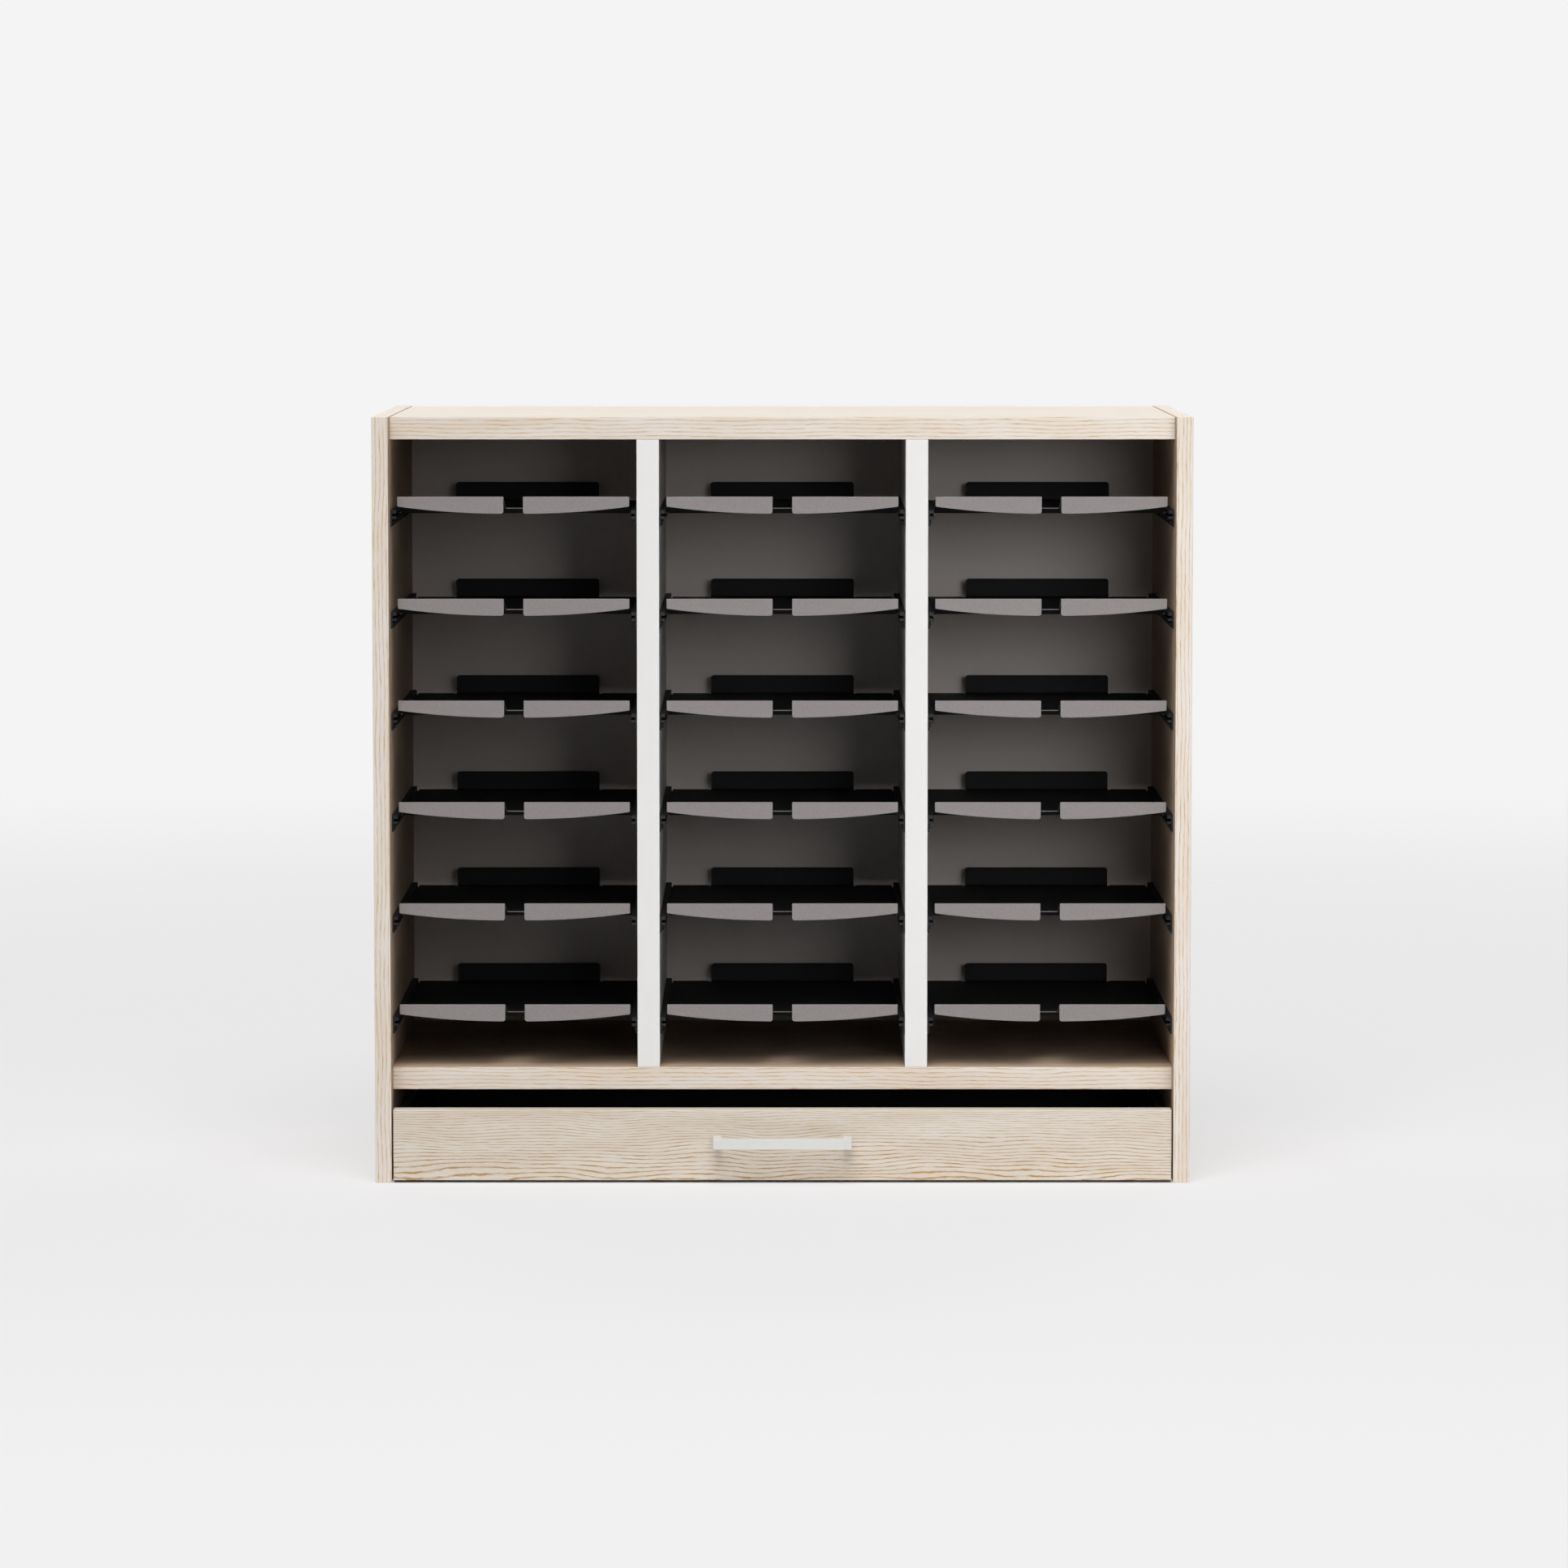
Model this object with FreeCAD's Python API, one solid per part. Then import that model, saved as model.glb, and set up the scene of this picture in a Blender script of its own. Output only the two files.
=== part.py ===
import FreeCAD, Part
import math
import os

# Classroom tray storage unit: a board carcass with three bays of six sheet-steel trays on
# moulded runners, and one wide plinth drawer below. Millimetres, +Z up. The origin lies on
# the floor under the centre of the overall box, and the open front faces -Y. "Depth" below
# is the distance behind the plane of the side panels' front edges.

Vector = FreeCAD.Vector
os.makedirs("parts", exist_ok=True)

# ---- carcass
overall_width = 800.0
carcass_depth = 405.0
side_thickness = 16.0
board_thickness = 22.0          # top, shelf and dividers
back_thickness = 8.0
back_rebate = 8.0               # how far the back panel is let into each side
front_recess = 25.0             # top, shelf, dividers and tray lips behind the side edges
top_drop = 0.7                  # top panel below the side panels' upper edges
shelf_height = 89.2             # underside of the bottom shelf above the floor
lowest_lip_height = 62.1        # top of the lowest tray's lips above the shelf
top_clearance = 55.9            # top panel above the highest tray's lips
column_count = 3
row_count = 6
row_pitch = 100.0

# ---- loose tongues in the carcass joints, and the back panel's screws
tongue_thickness = 4.0
tongue_in_face = 9.0            # let into the face of one board
tongue_in_end = 12.0            # let into the end of the other
tongue_inset = 30.0             # stopped short of the joint's front and rear
tongue_fit = 0.1
screw_radius = 1.75
screw_head_radius = 3.5
screw_length = 22.0
screw_fit = 0.05
side_screw_count = 2
side_screw_inset = 70.0

# ---- runners
runner_height = 16.1
runner_web = 1.8
runner_reach = 6.0              # ribs stand this far off the wall
upper_rib = 3.4
lower_rib = 2.6
runner_channel = 2.6            # between the ribs, takes the tray's side flange
runner_setback = 5.0            # front end behind the lips
runner_rear_gap = 37.0          # rear end in front of the back panel
runner_end_stop = 3.0           # closed rear end of the channel
runner_nose = 1.2               # chamfer that leads the tray in
flange_seat = 0.3               # tray flange above the lower rib, and off the end stop

# ---- trays
sheet = 1.0
flange_side_gap = 0.87          # tray flange beside the runner's web
ramp_side_gap = 1.2             # ramp and lips beside the ribs
lip_rise = 18.2                 # lip tops above the tray floor
ramp_run = 70.0                 # from the lips back to the tray floor
ramp_bend_radius = 3.0          # inside radius at the foot of the ramp
stop_bend = 1.0                 # inside flat across the stop's sharp fold
notch_width = 19.1
notch_depth = 50.0
tray_rear_gap = 20.0            # rear edge in front of the back panel
stop_width = 147.5
stop_height = 19.0              # above the tray floor
stop_inset = 5.5                # stop in front of the rear edge
stop_relief = 3.0               # relief slots beside the stop
stop_corner = 3.0
lip_thickness = 2.0
lip_outer_height = 9.75
lip_inner_height = 16.8
lip_corner = 2.5                # lower corner beside the finger notch

# ---- drawer
drawer_slot = 16.7              # open slot between shelf and drawer front
drawer_floor_gap = 2.3
drawer_side_gap = 1.6
drawer_front_thickness = 16.0
box_thickness = 12.0
box_rise = 9.7                  # box above the drawer front's lower edge
box_drop = 10.5                 # box below the drawer front's upper edge
box_rear_gap = 31.0
bottom_thickness = 4.0
bottom_rise = 6.0               # groove above the box sides' lower edges
groove_depth = 5.0
groove_fit = 0.1
drawer_travel = 260.0

# ---- drawer slides
rail_height = 35.0
rail_setback = 18.0
slide_width = 12.7              # cabinet side to drawer side
rail_sheet = 1.2
outer_rail_width = 9.6
race_lip = 1.7                  # turned-in edge of the outer rail
inner_rail_setback = 2.4        # inner rail's edges off the cabinet side
race_height = 3.7               # between the rails, takes the ball cage
rail_bend = 2.0
cage_gap = 0.2
cage_web = 0.6

# ---- handle
handle_pitch = 128.0
handle_leg = 8.0
handle_height = 10.3
handle_bar = 5.5
handle_projection = 24.5
handle_inner_radius = 6.0
handle_outer_radius = 1.0
handle_rise = 39.05             # middle of the bar above the drawer front's lower edge
handle_screw_radius = 2.0
handle_screw_head_radius = 4.0
handle_screw_head_height = 2.6
handle_screw_bite = 8.0
handle_thread_spare = 1.0       # threaded hole beyond the screw's end
handle_hole_radius = 2.3

# ---- places that follow from the sizes above
front_y = (handle_projection - carcass_depth) / 2
inner_half = overall_width / 2 - side_thickness
bay_width = (2 * inner_half - (column_count - 1) * board_thickness) / column_count
bay_pitch = bay_width + board_thickness
bay_centres = [(column - (column_count - 1) / 2) * bay_pitch for column in range(column_count)]
divider_centres = [centre + bay_pitch / 2 for centre in bay_centres[:-1]]
shelf_top = shelf_height + board_thickness
lip_tops = [shelf_top + lowest_lip_height + row_pitch * row for row in range(row_count)]
top_underside = lip_tops[-1] + top_clearance
overall_height = top_underside + board_thickness + top_drop
back_depth = carcass_depth - back_thickness
runner_start = front_recess + runner_setback
runner_end = back_depth - runner_rear_gap


def at_depth(depth):
    return front_y + depth


def block(x_range, depth_range, z_range):
    corner = Vector(x_range[0], at_depth(depth_range[0]), z_range[0])
    return Part.makeBox(
        x_range[1] - x_range[0],
        depth_range[1] - depth_range[0],
        z_range[1] - z_range[0],
        corner,
    )


def along_x(section, x_range):
    """Extrudes a closed outline of (depth, z) points along X."""
    points = [Vector(x_range[0], at_depth(depth), z) for depth, z in section]
    face = Part.Face(Part.makePolygon(points + points[:1]))
    return face.extrude(Vector(x_range[1] - x_range[0], 0, 0))


def along_y(section, depth_range):
    """Extrudes a closed outline of (x, z) points along Y."""
    points = [Vector(x, at_depth(depth_range[0]), z) for x, z in section]
    face = Part.Face(Part.makePolygon(points + points[:1]))
    return face.extrude(Vector(0, depth_range[1] - depth_range[0], 0))


# Edges are picked by where they lie and which way they run, and these allow for rounding.
same_place = 1e-4
same_direction = 1e-6


def edges_where(shape, test):
    return [edge for edge in shape.Edges if test(edge)]


def runs_along(edge, axis):
    if not isinstance(edge.Curve, Part.Line):
        return False
    return abs(abs(edge.tangentAt(edge.FirstParameter).dot(axis)) - 1) < same_direction


def mirrored(shape):
    return shape.mirror(Vector(), Vector(1, 0, 0))


def save(name, solids):
    shape = solids[0] if len(solids) == 1 else Part.makeCompound(solids)
    shape.exportStep(os.path.join("parts", name + ".step"))


# ---- carcass joints and screws

def spread(first, last, count):
    return [first + (last - first) * index / (count - 1) for index in range(count)]


def tongues(grow=0.0):
    """Plywood tongues across the carcass joints; grow gives the grooves that take them."""
    half = tongue_thickness / 2 + grow
    in_face = tongue_in_face + grow
    in_end = tongue_in_end + grow
    depths = (front_recess + tongue_inset - grow, back_depth - tongue_inset + grow)
    solids = []
    for underside in (shelf_height, top_underside):
        middle = underside + board_thickness / 2
        x_range = (inner_half - in_end, inner_half + in_face)
        right = block(x_range, depths, (middle - half, middle + half))
        solids += [right, mirrored(right)]
    for x in divider_centres:
        x_range = (x - half, x + half)
        solids.append(block(x_range, depths, (shelf_top - in_face, shelf_top + in_end)))
        solids.append(block(x_range, depths, (top_underside - in_end, top_underside + in_face)))
    return solids


def back_screw_points():
    shoulder = inner_half + back_rebate / 2
    lowest = drawer_floor_gap + side_screw_inset
    heights = spread(lowest, top_underside - side_screw_inset, side_screw_count)
    return [
        Vector(x, at_depth(carcass_depth), z) for x in (-shoulder, shoulder) for z in heights
    ]


def back_screw(point, grow=0.0):
    """Countersunk wood screw, driven from the back; grow gives the hole that takes it."""
    shank_radius = screw_radius + grow
    head_radius = screw_head_radius + grow
    inward = Vector(0, -1, 0)
    shank = Part.makeCylinder(shank_radius, screw_length + grow, point, inward)
    head = Part.makeCone(head_radius, shank_radius, head_radius - shank_radius, point, inward)
    return head.fuse(shank).removeSplitter()


# ---- carcass boards

def cut_all(board, tools):
    near = [tool for tool in tools if board.BoundBox.intersect(tool.BoundBox)]
    return board.cut(near) if near else board


def carcass_boards():
    holes = tongues(tongue_fit)
    holes += [back_screw(point, screw_fit) for point in back_screw_points()]
    half = overall_width / 2
    inner = (-inner_half, inner_half)
    rebate = block(
        (inner_half, inner_half + back_rebate), (back_depth, carcass_depth), (0, top_underside)
    )
    side = block((inner_half, half), (0, carcass_depth), (0, overall_height)).cut(rebate)
    top_z = (top_underside, top_underside + board_thickness)
    boards = {
        "side_panel_right": side,
        "side_panel_left": mirrored(side),
        "top_panel": block(inner, (front_recess, carcass_depth), top_z),
        "bottom_shelf": block(inner, (front_recess, back_depth), (shelf_height, shelf_top)),
        "back_panel": block(
            (-inner_half - back_rebate, inner_half + back_rebate),
            (back_depth, carcass_depth),
            (drawer_floor_gap, top_underside),
        ),
    }
    for number, x in enumerate(divider_centres, 1):
        thickness = (x - board_thickness / 2, x + board_thickness / 2)
        boards[f"divider_{number}"] = block(
            thickness, (front_recess, back_depth), (shelf_top, top_underside)
        )
    return {name: cut_all(board, holes) for name, board in boards.items()}


# ---- tray runners: a moulded channel with a web below it for the fixings, closed at the rear

def runner(lip_top):
    """Runner for the left wall of a bay, with the wall at x = 0."""
    floor_underside = lip_top - lip_rise - sheet
    seat = floor_underside - flange_seat
    roof = seat + runner_channel
    top = roof + upper_rib
    foot = seat - lower_rib
    section = [
        (0, top - runner_height),
        (runner_web, top - runner_height),
        (runner_web, foot),
        (runner_reach, foot),
        (runner_reach, seat),
        (runner_web, seat),
        (runner_web, roof),
        (runner_reach, roof),
        (runner_reach, top),
        (0, top),
    ]
    body = along_y(section, (runner_start, runner_end))
    stop = block(
        (runner_web, runner_reach), (runner_end - runner_end_stop, runner_end), (seat, roof)
    )
    nose = Part.makePolygon([
        Vector(runner_reach, at_depth(runner_start), top),
        Vector(runner_reach - runner_nose, at_depth(runner_start), top),
        Vector(runner_reach, at_depth(runner_start) + runner_nose, top),
        Vector(runner_reach, at_depth(runner_start), top),
    ])
    corner = Part.Face(nose).extrude(Vector(0, 0, foot - top))
    return body.fuse(stop).removeSplitter().cut(corner)


def bay_runners(centre):
    solids = []
    for lip_top in lip_tops:
        left = runner(lip_top)
        right = mirrored(left)
        left.translate(Vector(centre - bay_width / 2, 0, 0))
        right.translate(Vector(centre + bay_width / 2, 0, 0))
        solids += [left, right]
    return solids


# ---- trays: one blank of sheet steel, folded, with the lips standing below its front edge

ramp_half = bay_width / 2 - runner_reach - ramp_side_gap
flange_half = bay_width / 2 - runner_web - flange_side_gap
tray_front = front_recess + lip_thickness
tray_rear = back_depth - tray_rear_gap
ramp_foot = front_recess + ramp_run
stop_face = tray_rear - stop_inset


def fold_at(strip, depth, z):
    """Edges of a folded sheet that run along X through a point of its side outline."""
    spot = Part.Vertex(Vector(0, at_depth(depth), z))
    return edges_where(
        strip,
        lambda edge: runs_along(edge, Vector(1, 0, 0)) and edge.distToShape(spot)[0] < same_place,
    )


def tray_sheet():
    """Ramp and floor in one strip; the floor's top is at z = 0."""
    slope = math.atan2(lip_rise, ramp_foot - tray_front)
    under_foot = ramp_foot - sheet * math.tan(slope / 2)
    section = [
        (tray_front, lip_rise),
        (ramp_foot, 0),
        (tray_rear, 0),
        (tray_rear, -sheet),
        (under_foot, -sheet),
        (tray_front, lip_rise - sheet / math.cos(slope)),
    ]
    strip = along_x(section, (-ramp_half, ramp_half))
    strip = strip.makeFillet(ramp_bend_radius, fold_at(strip, ramp_foot, 0))
    return strip.makeFillet(ramp_bend_radius + sheet, fold_at(strip, under_foot, -sheet))


def back_stop():
    """Upstand folded up from the floor, with rounded upper corners."""
    half = stop_width / 2
    root = stop_face - stop_bend - sheet
    behind = stop_face + sheet
    section = [
        (root, 0),
        (stop_face, 0),
        (stop_face, stop_height),
        (behind, stop_height),
        (behind, -sheet),
        (root, -sheet),
    ]
    plate = along_x(section, (-half, half))
    plate = plate.makeChamfer(stop_bend, fold_at(plate, stop_face, 0))
    plate = plate.makeChamfer(sheet, fold_at(plate, behind, -sheet))
    corners = edges_where(
        plate,
        lambda edge: runs_along(edge, Vector(0, 1, 0)) and edge.BoundBox.ZMin > stop_height - same_place,
    )
    return plate.makeFillet(stop_corner, corners)


def tray_pan():
    """Pan of a bay centred on x = 0, its floor's top at z = 0."""
    pan = tray_sheet()
    flange_depths = (ramp_foot + 2 * sheet, runner_end - runner_end_stop - flange_seat)
    pan = pan.fuse(block((-flange_half, flange_half), flange_depths, (-sheet, 0)))
    half_slot = stop_width / 2 + stop_relief
    slot_start = stop_face - stop_bend - sheet
    pan = pan.cut(block((-half_slot, half_slot), (slot_start, tray_rear), (-sheet, 0)))
    pan = pan.fuse(back_stop()).removeSplitter()
    notch = block(
        (-notch_width / 2, notch_width / 2),
        (0, front_recess + notch_depth),
        (-sheet, lip_rise),
    )
    return pan.cut(notch)


def lip():
    """Right-hand lip: level top, lower edge an arc that is level at its inner end."""
    inner = notch_width / 2
    length = ramp_half - inner
    drop = lip_inner_height - lip_outer_height
    radius = (length ** 2 + drop ** 2) / (2 * drop)
    half_turn = math.asin(length / radius) / 2
    y = at_depth(front_recess)

    def point(x, z):
        return Vector(x, y, z)

    middle = point(
        inner + radius * math.sin(half_turn),
        radius * (1 - math.cos(half_turn)) - lip_inner_height,
    )
    top_inner = point(inner, 0)
    top_outer = point(ramp_half, 0)
    low_inner = point(inner, -lip_inner_height)
    low_outer = point(ramp_half, -lip_outer_height)
    outline = Part.Wire([
        Part.LineSegment(low_inner, top_inner).toShape(),
        Part.LineSegment(top_inner, top_outer).toShape(),
        Part.LineSegment(top_outer, low_outer).toShape(),
        Part.Arc(low_outer, middle, low_inner).toShape(),
    ])
    plate = Part.Face(outline).extrude(Vector(0, lip_thickness, 0))
    corner = edges_where(
        plate,
        lambda edge: runs_along(edge, Vector(0, 1, 0))
        and edge.BoundBox.XMax < inner + same_place
        and edge.BoundBox.ZMax < -lip_outer_height,
    )
    return plate.makeFillet(lip_corner, corner)


def save_trays():
    pan = tray_pan()
    right_lip = lip()
    left_lip = mirrored(right_lip)
    for column, centre in enumerate(bay_centres, 1):
        for row, lip_top in enumerate(reversed(lip_tops), 1):
            placed_pan = pan.copy()
            placed_pan.translate(Vector(centre, 0, lip_top - lip_rise))
            lips = [left_lip.copy(), right_lip.copy()]
            for plate in lips:
                plate.translate(Vector(centre, 0, lip_top))
            save(f"tray_pan_c{column}r{row}", [placed_pan])
            save(f"tray_lips_c{column}r{row}", lips)


# ---- drawer

drawer_half = inner_half - drawer_side_gap
drawer_z = (drawer_floor_gap, shelf_height - drawer_slot)
handle_z = drawer_z[0] + handle_rise
box_half = inner_half - slide_width
box_z = (drawer_z[0] + box_rise, drawer_z[1] - box_drop)
box_depths = (drawer_front_thickness, back_depth - box_rear_gap)
bottom_z = (box_z[0] + bottom_rise, box_z[0] + bottom_rise + bottom_thickness)


def bottom_groove():
    """Groove round the sides and front that takes the drawer bottom."""
    reach = box_half - box_thickness + groove_depth
    return block(
        (-reach, reach),
        (drawer_front_thickness - groove_depth, box_depths[1]),
        (bottom_z[0] - groove_fit, bottom_z[1] + groove_fit),
    )


def handle_screw_axes():
    return [Vector(x, 0, handle_z) for x in (-handle_pitch / 2, handle_pitch / 2)]


def drawer_front():
    front = block((-drawer_half, drawer_half), (0, drawer_front_thickness), drawer_z)
    front = front.cut(bottom_groove())
    for axis in handle_screw_axes():
        start = Vector(axis.x, at_depth(0), axis.z)
        hole = Part.makeCylinder(
            handle_hole_radius, drawer_front_thickness, start, Vector(0, 1, 0)
        )
        front = front.cut(hole)
    return front


def drawer_box():
    side = block((box_half - box_thickness, box_half), box_depths, box_z).cut(bottom_groove())
    between = box_half - box_thickness
    back = block(
        (-between, between),
        (box_depths[1] - box_thickness, box_depths[1]),
        (bottom_z[1] + groove_fit, box_z[1]),
    )
    bottom_half = between + groove_depth - groove_fit
    bottom = block(
        (-bottom_half, bottom_half),
        (drawer_front_thickness - groove_depth + groove_fit, box_depths[1]),
        bottom_z,
    )
    return {
        "drawer_side_right": side,
        "drawer_side_left": mirrored(side),
        "drawer_back": back,
        "drawer_bottom": bottom,
    }


def handle():
    """Bow handle: a flat bar bent square, with rounded inner corners."""
    half = handle_pitch / 2 + handle_leg / 2
    z = handle_z - handle_height / 2
    outer = block((-half, half), (-handle_projection, 0), (z, z + handle_height))
    inside = half - handle_leg
    gap = block(
        (-inside, inside), (handle_bar - handle_projection, 0), (z, z + handle_height)
    )
    upright = Vector(0, 0, 1)
    gap_corners = edges_where(
        gap, lambda edge: runs_along(edge, upright) and edge.BoundBox.YMax < at_depth(-1)
    )
    outer_corners = edges_where(
        outer, lambda edge: runs_along(edge, upright) and edge.BoundBox.YMax < at_depth(-1)
    )
    bow = outer.makeFillet(handle_outer_radius, outer_corners)
    bow = bow.cut(gap.makeFillet(handle_inner_radius, gap_corners))
    for axis in handle_screw_axes():
        start = Vector(axis.x, at_depth(0), axis.z)
        bow = bow.cut(
            Part.makeCylinder(
                handle_screw_radius + screw_fit,
                handle_screw_bite + handle_thread_spare,
                start,
                Vector(0, -1, 0),
            )
        )
    return bow


def handle_screw(axis):
    """Cheese-head machine screw, put in from inside the drawer."""
    start = Vector(axis.x, at_depth(drawer_front_thickness), axis.z)
    length = drawer_front_thickness + handle_screw_bite
    shank = Part.makeCylinder(handle_screw_radius, length, start, Vector(0, -1, 0))
    head = Part.makeCylinder(
        handle_screw_head_radius, handle_screw_head_height, start, Vector(0, 1, 0)
    )
    return shank.fuse(head).removeSplitter()


# ---- drawer slides: nested steel channels with a ball cage between them

rail_middle = (box_z[0] + box_z[1]) / 2
rail_length = back_depth - box_rear_gap - rail_setback
rail_depths = (rail_setback, rail_setback + rail_length)


def slide_section(upper):
    """Completes an upper half outline about the rail's middle, on the right side of the case.

    Its points are (distance from the side panel, height above the rail's middle)."""
    lower = [(x, -z) for x, z in reversed(upper)]
    return [(inner_half - x, rail_middle + z) for x, z in upper + lower]


def rounded_bends(rail, x, z):
    """Rounds a channel's two outer bends, at x from the side panel and z off the middle."""
    bends = edges_where(
        rail,
        lambda edge: runs_along(edge, Vector(0, 1, 0))
        and abs(edge.BoundBox.XMin - (inner_half - x)) < same_place
        and abs(abs(edge.BoundBox.ZMax - rail_middle) - z) < same_place,
    )
    return rail.makeFillet(rail_bend, bends)


def outer_rail():
    arm = rail_height / 2
    lip_end = arm - rail_sheet - race_lip
    lip_inside = outer_rail_width - rail_sheet
    upper = [
        (0, arm),
        (outer_rail_width, arm),
        (outer_rail_width, lip_end),
        (lip_inside, lip_end),
        (lip_inside, arm - rail_sheet),
        (rail_sheet, arm - rail_sheet),
    ]
    return rounded_bends(along_y(slide_section(upper), rail_depths), outer_rail_width, arm)


def inner_rail():
    arm = rail_height / 2 - rail_sheet - race_height
    upper = [
        (slide_width, arm),
        (inner_rail_setback, arm),
        (inner_rail_setback, arm - rail_sheet),
        (slide_width - rail_sheet, arm - rail_sheet),
    ]
    return rounded_bends(along_y(slide_section(upper), rail_depths), slide_width, arm)


def ball_cage():
    """Moves half as far as the drawer and stays between both rails over the whole travel."""
    high = rail_height / 2 - rail_sheet - cage_gap
    low = high - race_height + 2 * cage_gap
    web = (inner_rail_setback + rail_sheet - cage_web) / 2
    reach = outer_rail_width - rail_sheet - cage_gap
    upper = [(web, high), (reach, high), (reach, low), (web + cage_web, low)]
    start = rail_depths[0] + drawer_travel / 2 + cage_gap
    end = rail_depths[1] - drawer_travel / 2 - cage_gap
    return along_y(slide_section(upper), (start, end))


# ---- write every sub-part

for name, board in carcass_boards().items():
    save(name, [board])
save("carcass_tongues", tongues())
save("back_panel_screws", [back_screw(point) for point in back_screw_points()])
for column, centre in enumerate(bay_centres, 1):
    save(f"tray_runners_c{column}", bay_runners(centre))
save_trays()
save("drawer_front", [drawer_front()])
for name, board in drawer_box().items():
    save(name, [board])
save("drawer_handle", [handle()])
save("handle_screws", [handle_screw(axis) for axis in handle_screw_axes()])
save("drawer_rails_fixed", [outer_rail(), mirrored(outer_rail())])
save("drawer_rails_moving", [inner_rail(), mirrored(inner_rail())])
save("drawer_ball_cages", [ball_cage(), mirrored(ball_cage())])
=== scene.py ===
import math

import bmesh
import bpy
from mathutils import Matrix, Vector


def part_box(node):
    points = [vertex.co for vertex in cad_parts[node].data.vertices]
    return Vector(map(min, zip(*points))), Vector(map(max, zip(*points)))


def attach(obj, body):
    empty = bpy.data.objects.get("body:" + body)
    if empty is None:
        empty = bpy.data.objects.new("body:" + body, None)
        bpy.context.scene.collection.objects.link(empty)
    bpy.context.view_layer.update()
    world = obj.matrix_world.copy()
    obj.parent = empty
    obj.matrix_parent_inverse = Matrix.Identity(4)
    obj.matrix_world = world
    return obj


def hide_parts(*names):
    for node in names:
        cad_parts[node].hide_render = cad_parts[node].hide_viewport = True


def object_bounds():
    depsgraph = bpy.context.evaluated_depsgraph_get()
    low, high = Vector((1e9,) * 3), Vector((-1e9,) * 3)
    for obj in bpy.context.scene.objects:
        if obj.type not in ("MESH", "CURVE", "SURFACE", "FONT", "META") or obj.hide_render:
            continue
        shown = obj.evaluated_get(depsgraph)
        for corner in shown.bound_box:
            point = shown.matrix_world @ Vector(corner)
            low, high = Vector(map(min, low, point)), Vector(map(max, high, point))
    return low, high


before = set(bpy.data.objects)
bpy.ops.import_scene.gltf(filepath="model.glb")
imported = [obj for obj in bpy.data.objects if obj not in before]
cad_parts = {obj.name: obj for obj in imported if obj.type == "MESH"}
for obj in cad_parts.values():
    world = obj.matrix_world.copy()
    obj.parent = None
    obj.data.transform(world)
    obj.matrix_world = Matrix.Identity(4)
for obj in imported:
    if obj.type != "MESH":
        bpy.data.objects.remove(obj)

cad_low, cad_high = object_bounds()
mm = 0.001                      # everything below is in metres, as the frame is


# ---- Camera
# A long lens level with the top of the case and 6.1 m in front of it, tipped 5 degrees down,
# so that the sides converge a little and the top panel shows as a thin strip.

camera_data = bpy.data.cameras.new("camera")
camera_data.lens = 144.8
camera_data.sensor_width = 36.0
camera_data.clip_end = 100.0
camera = bpy.data.objects.new("camera", camera_data)
camera.location = (1.6 * mm, -6.33325, 0.9317)
camera.rotation_euler = (math.radians(90 - 5.007), 0.0, 0.0)
bpy.context.scene.collection.objects.link(camera)
bpy.context.scene.camera = camera


# ---- Studio surround, lamps and floor
# A white surround and five broad lamps, high in front and behind, light the case. A small
# gridded lamp a little above the case, in front on the right, reaches into the bays. The floor
# is matt white paint that fades into the surround.

def linear(colour):
    """Linear RGBA of an sRGB hex colour."""
    parts = [int(colour[place:place + 2], 16) / 255 for place in (1, 3, 5)]
    parts = [part / 12.92 if part <= 0.04045 else ((part + 0.055) / 1.055) ** 2.4 for part in parts]
    return (*parts, 1.0)


def add_node(tree, kind, inputs=None, **settings):
    """One node: settings are its own fields, inputs its sockets by value or another's output."""
    node = tree.nodes.new("ShaderNode" + kind)
    for field, value in settings.items():
        setattr(node, field, value)
    for socket, value in (inputs or {}).items():
        if isinstance(value, bpy.types.NodeSocket):
            tree.links.new(value, node.inputs[socket])
        else:
            node.inputs[socket].default_value = value
    return node


def sees_surround(tree):
    """1 for a ray that looks at the surround, straight, off gloss or through glass, and 0 for one
    that gathers its light."""
    ray = add_node(tree, "LightPath").outputs
    sent_on = add_node(
        tree, "Math", {0: ray["Is Glossy Ray"], 1: ray["Is Transmission Ray"]}, operation="MAXIMUM"
    )
    looking = add_node(
        tree, "Math", {0: ray["Is Camera Ray"], 1: sent_on.outputs[0]}, operation="MAXIMUM"
    )
    return looking.outputs[0]


world = bpy.data.worlds.new("studio_surround")
world.use_nodes = True
tree = world.node_tree
tree.nodes.clear()
lighting = add_node(tree, "Background", {"Color": (1, 1, 1, 1), "Strength": 0.1})
seen = add_node(tree, "Background", {"Color": linear("#f4f4f4"), "Strength": 1.0})
mixed = add_node(
    tree, "MixShader", {0: sees_surround(tree), 1: lighting.outputs[0], 2: seen.outputs[0]}
)
add_node(tree, "OutputWorld", {"Surface": mixed.outputs[0]})
bpy.context.scene.world = world
bpy.context.scene.view_settings.view_transform = "Standard"


def lamp(name, place, target, size, power):
    """A square lamp that faces a target. Size in metres, power in watts."""
    data = bpy.data.lights.new(name, "AREA")
    data.size = size
    data.energy = power
    made = bpy.data.objects.new(name, data)
    made.location = place
    made.rotation_euler = (Vector(target) - Vector(place)).to_track_quat("-Z", "Y").to_euler()
    bpy.context.scene.collection.objects.link(made)
    return data


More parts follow.
